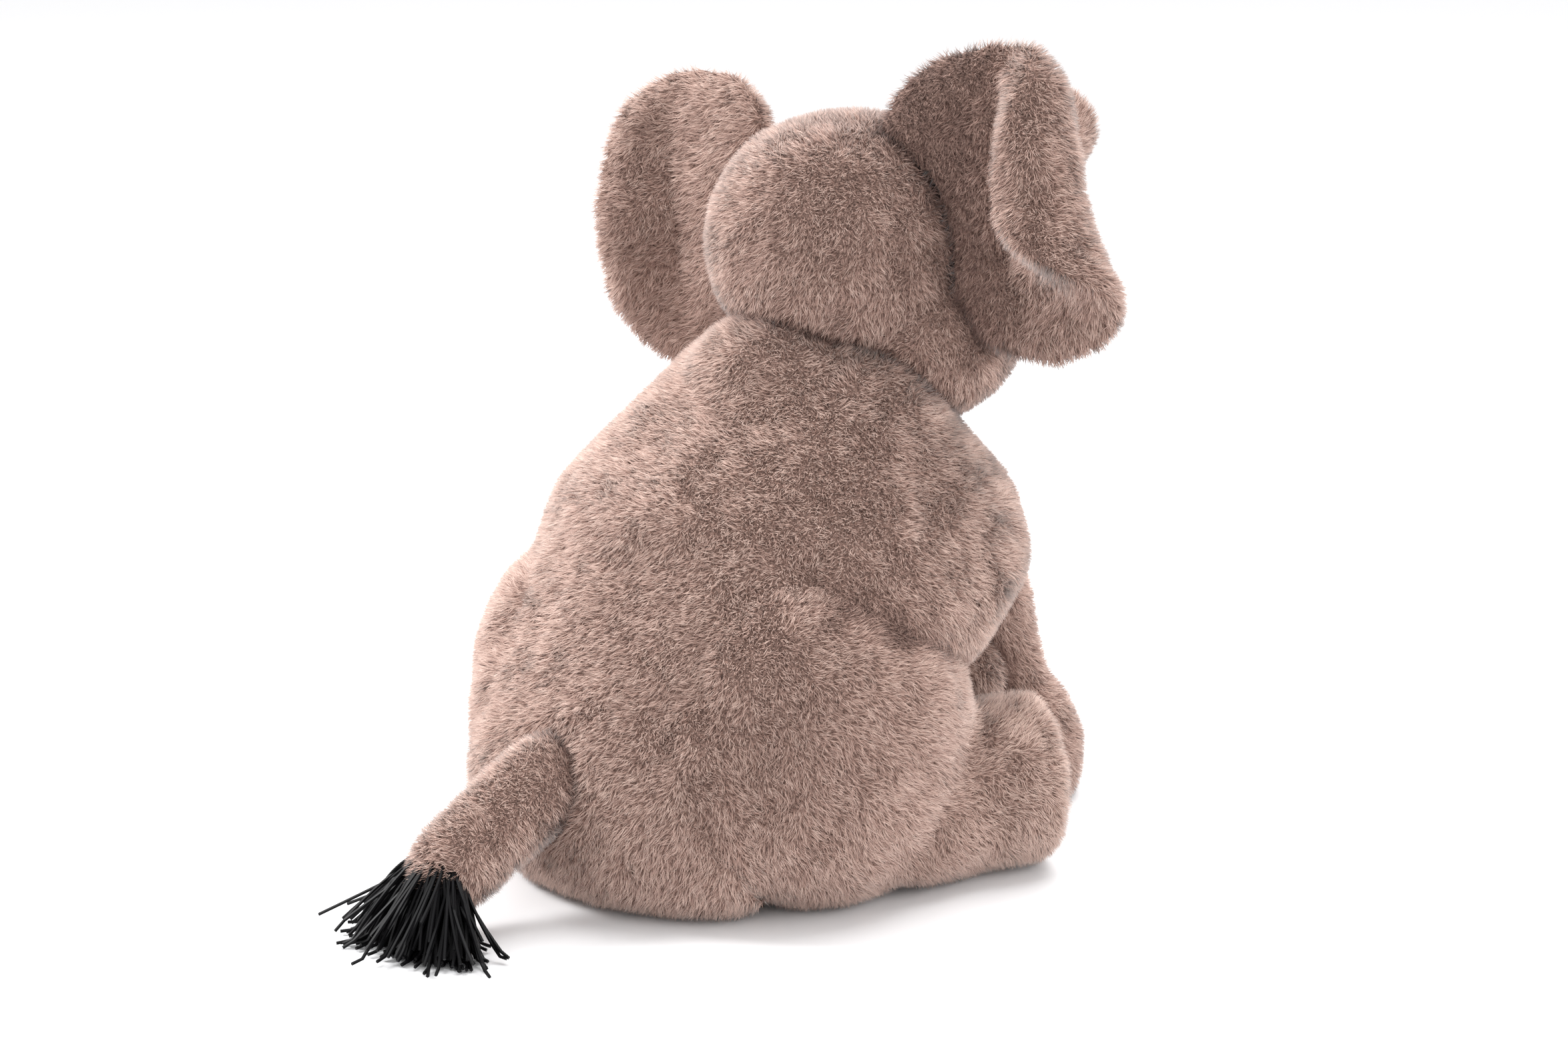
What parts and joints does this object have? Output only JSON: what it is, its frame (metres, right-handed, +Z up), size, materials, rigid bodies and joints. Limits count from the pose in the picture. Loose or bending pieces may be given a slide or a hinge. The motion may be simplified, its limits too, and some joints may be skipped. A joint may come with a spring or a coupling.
{
  "type": "stuffed elephant",
  "caption": "Seated plush elephant with padded ears, a raised trunk, splayed hind legs, and a short tail that ends in a fanned yarn tuft; sewn pile panels over stuffing.",
  "frame": {"origin": "on the flat bottom of the seat panel, in the animal's middle plane", "axes": "+Z up, -Y the way the elephant faces, +X its own left; +Y is the longest extent (front feet to tuft) and +X the shortest"},
  "size_m": [0.221, 0.3789, 0.2905],
  "materials": {
    "plush_back_left": "dense combed pile, taupe",
    "plush_back_right": "dense combed pile, taupe",
    "plush_belly": "dense combed pile, taupe",
    "plush_ear_back_left": "dense combed pile, taupe",
    "plush_ear_back_right": "dense combed pile, taupe",
    "plush_ear_front_left": "dense combed pile, taupe",
    "plush_ear_front_right": "dense combed pile, taupe",
    "stuffing": "loose white polyester fibre",
    "eye_left": "polished black dome",
    "eye_right": "polished black dome",
    "washer": "moulded",
    "plush_front_leg_left": "dense combed pile, taupe",
    "plush_front_leg_right": "dense combed pile, taupe",
    "plush_front_sole_left": "dense combed pile, taupe",
    "plush_front_sole_right": "dense combed pile, taupe",
    "plush_head_gusset": "dense combed pile, taupe",
    "plush_head_left": "dense combed pile, taupe",
    "plush_head_right": "dense combed pile, taupe",
    "plush_hind_inner_left": "dense combed pile, taupe",
    "plush_hind_inner_right": "dense combed pile, taupe",
    "plush_hind_outer_left": "dense combed pile, taupe",
    "plush_hind_outer_right": "dense combed pile, taupe",
    "plush_hind_sole_left": "dense combed pile, taupe",
    "plush_hind_sole_right": "dense combed pile, taupe",
    "pellet_cloth": "plain woven pouch",
    "plush_seat": "dense combed pile, taupe",
    "plush_tail": "dense combed pile, taupe",
    "black_yarn": "cut black yarn with a slight sheen",
    "plush_trunk_end": "dense combed pile, taupe",
    "plush_trunk_under": "dense combed pile, taupe",
    "plush_trunk_upper": "dense combed pile, taupe",
    "thread": "wound thread"
  },
  "bodies": {
    "torso": {"back_panel_left": "plush_back_left", "back_panel_right": "plush_back_right", "belly_panel": "plush_belly", "seat_panel": "plush_seat", "torso_stuffing": "stuffing", "pellet_pouch": "pellet_cloth"},
    "head": {"head_gusset": "plush_head_gusset", "head_side_left": "plush_head_left", "head_side_right": "plush_head_right", "head_stuffing": "stuffing", "eye_left": "eye_left", "eye_right": "eye_right", "eye_washer_left": "washer", "eye_washer_right": "washer"},
    "trunk": {"trunk_upper": "plush_trunk_upper", "trunk_under": "plush_trunk_under", "trunk_end": "plush_trunk_end", "trunk_stuffing": "stuffing"},
    "ear_left": {"ear_front_left": "plush_ear_front_left", "ear_back_left": "plush_ear_back_left", "ear_stuffing_left": "stuffing"},
    "ear_right": {"ear_front_right": "plush_ear_front_right", "ear_back_right": "plush_ear_back_right", "ear_stuffing_right": "stuffing"},
    "hind_leg_left": {"hind_leg_outer_left": "plush_hind_outer_left", "hind_leg_inner_left": "plush_hind_inner_left", "hind_sole_left": "plush_hind_sole_left", "hind_leg_stuffing_left": "stuffing"},
    "hind_leg_right": {"hind_leg_outer_right": "plush_hind_outer_right", "hind_leg_inner_right": "plush_hind_inner_right", "hind_sole_right": "plush_hind_sole_right", "hind_leg_stuffing_right": "stuffing"},
    "front_leg_left": {"front_leg_left": "plush_front_leg_left", "front_sole_left": "plush_front_sole_left", "front_leg_stuffing_left": "stuffing"},
    "front_leg_right": {"front_leg_right": "plush_front_leg_right", "front_sole_right": "plush_front_sole_right", "front_leg_stuffing_right": "stuffing"},
    "tail": {"tail_skin": "plush_tail", "tail_stuffing": "stuffing", "tail_tuft": "black_yarn", "tuft_binding": "thread"}
  },
  "joints": [
    {"name": "neck_turn", "type": "hinge", "parent": "torso", "child": "head", "pos_m": [0, -0.053, 0.217], "axis": [0.1207, 0.017, 0.9925], "range_deg": [-20, 6], "stiffness_Nm_per_rad": 0.6},
    {"name": "trunk_bend", "type": "hinge", "parent": "head", "child": "trunk", "pos_m": [0.0025, -0.09708, 0.18722], "axis": [-0.9829, -0.1381, 0.1219], "range_deg": [-12, 4], "stiffness_Nm_per_rad": 0.25},
    {"name": "ear_left_flap", "type": "hinge", "parent": "head", "child": "ear_left", "pos_m": [0.04126, -0.0472, 0.21994], "axis": [0.1207, 0.017, 0.9925], "range_deg": [-11, 11], "stiffness_Nm_per_rad": 0.1},
    {"name": "ear_right_flap", "type": "hinge", "parent": "head", "child": "ear_right", "pos_m": [-0.03933, -0.05853, 0.22994], "axis": [0.1207, 0.017, 0.9925], "range_deg": [-11, 11], "stiffness_Nm_per_rad": 0.1},
    {"name": "hip_left", "type": "hinge", "parent": "torso", "child": "hind_leg_left", "pos_m": [0.046, 0.012, 0.051], "axis": [-1, 0, 0], "range_deg": [0, 9], "stiffness_Nm_per_rad": 2},
    {"name": "hip_right", "type": "hinge", "parent": "torso", "child": "hind_leg_right", "pos_m": [-0.046, 0.012, 0.051], "axis": [-1, 0, 0], "range_deg": [0, 9], "stiffness_Nm_per_rad": 2},
    {"name": "shoulder_left", "type": "hinge", "parent": "torso", "child": "front_leg_left", "pos_m": [0.035, -0.09, 0.086], "axis": [-1, 0, 0], "range_deg": [0, 18], "stiffness_Nm_per_rad": 1.2},
    {"name": "shoulder_right", "type": "hinge", "parent": "torso", "child": "front_leg_right", "pos_m": [-0.035, -0.09, 0.086], "axis": [-1, 0, 0], "range_deg": [0, 18], "stiffness_Nm_per_rad": 1.2},
    {"name": "tail_lift", "type": "hinge", "parent": "torso", "child": "tail", "pos_m": [0, 0.091, 0.0465], "axis": [1, 0, 0], "range_deg": [0, 35], "stiffness_Nm_per_rad": 0.3}
  ]
}
